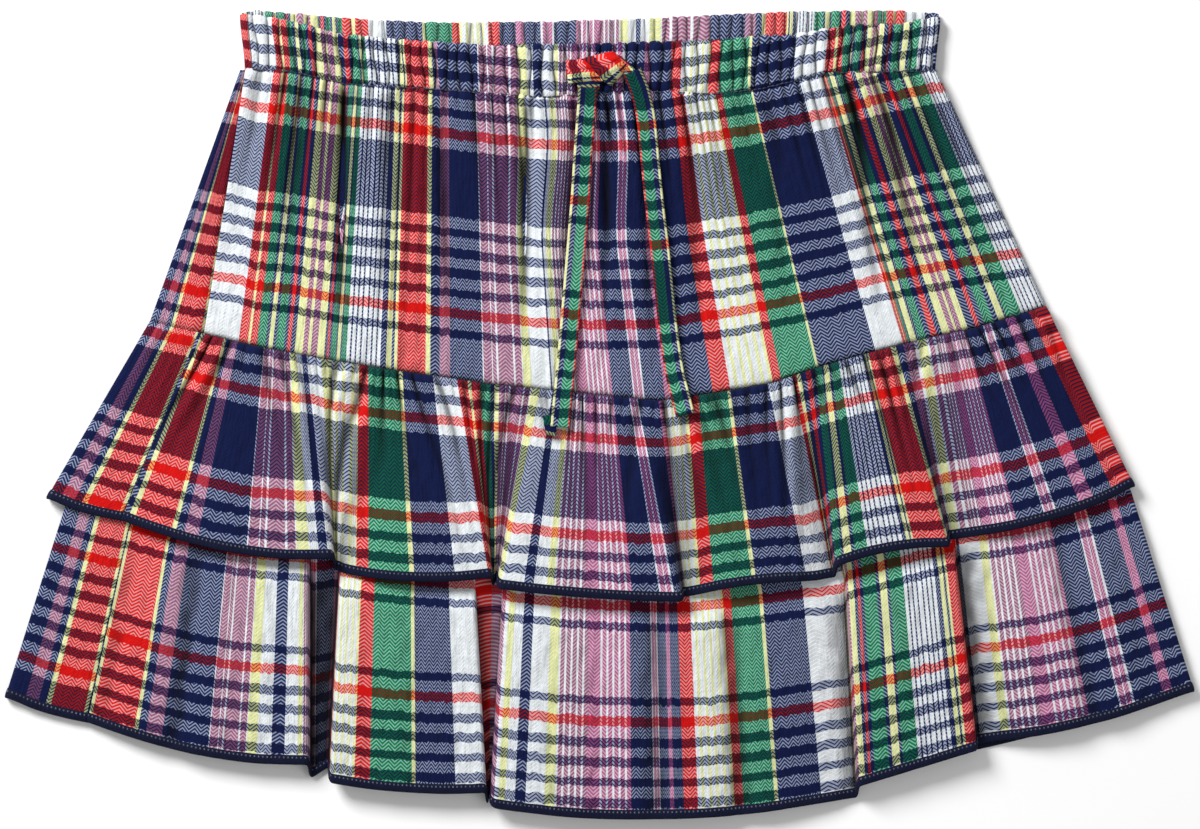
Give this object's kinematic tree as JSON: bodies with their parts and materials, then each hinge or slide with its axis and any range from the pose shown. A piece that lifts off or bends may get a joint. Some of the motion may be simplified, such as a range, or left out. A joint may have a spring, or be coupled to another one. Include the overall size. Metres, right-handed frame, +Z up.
{
  "type": "tiered ruffle skirt",
  "caption": "Short skirt laid flat, with an elastic casing, a flared upper tier, and a short gathered ruffle over a longer one, with flat tied ends at the waist.",
  "frame": {"origin": "middle of the laid skirt, on the surface that it rests on", "axes": "+X to the right of the laid skirt as seen from above, +Y towards the waist, +Z up, away from the surface"},
  "size_m": [0.5895, 0.4003, 0.0123],
  "materials": {
    "waistband_cloth": "matte woven cotton twill",
    "upper_cloth": "matte woven cotton twill",
    "short_ruffle_cloth": "matte woven cotton twill",
    "long_ruffle_cloth": "matte woven cotton twill",
    "tie_cloth": "matte woven cotton twill"
  },
  "bodies": {
    "root": {"waistband_front": "waistband_cloth", "waistband_back": "waistband_cloth", "upper_tier_front": "upper_cloth", "upper_tier_back": "upper_cloth", "short_ruffle_front": "short_ruffle_cloth", "short_ruffle_back": "short_ruffle_cloth", "long_ruffle_front": "long_ruffle_cloth", "long_ruffle_back": "long_ruffle_cloth", "tie_knot": "tie_cloth", "tie_tail_left": "tie_cloth", "tie_tail_right": "tie_cloth"}
  },
  "joints": []
}
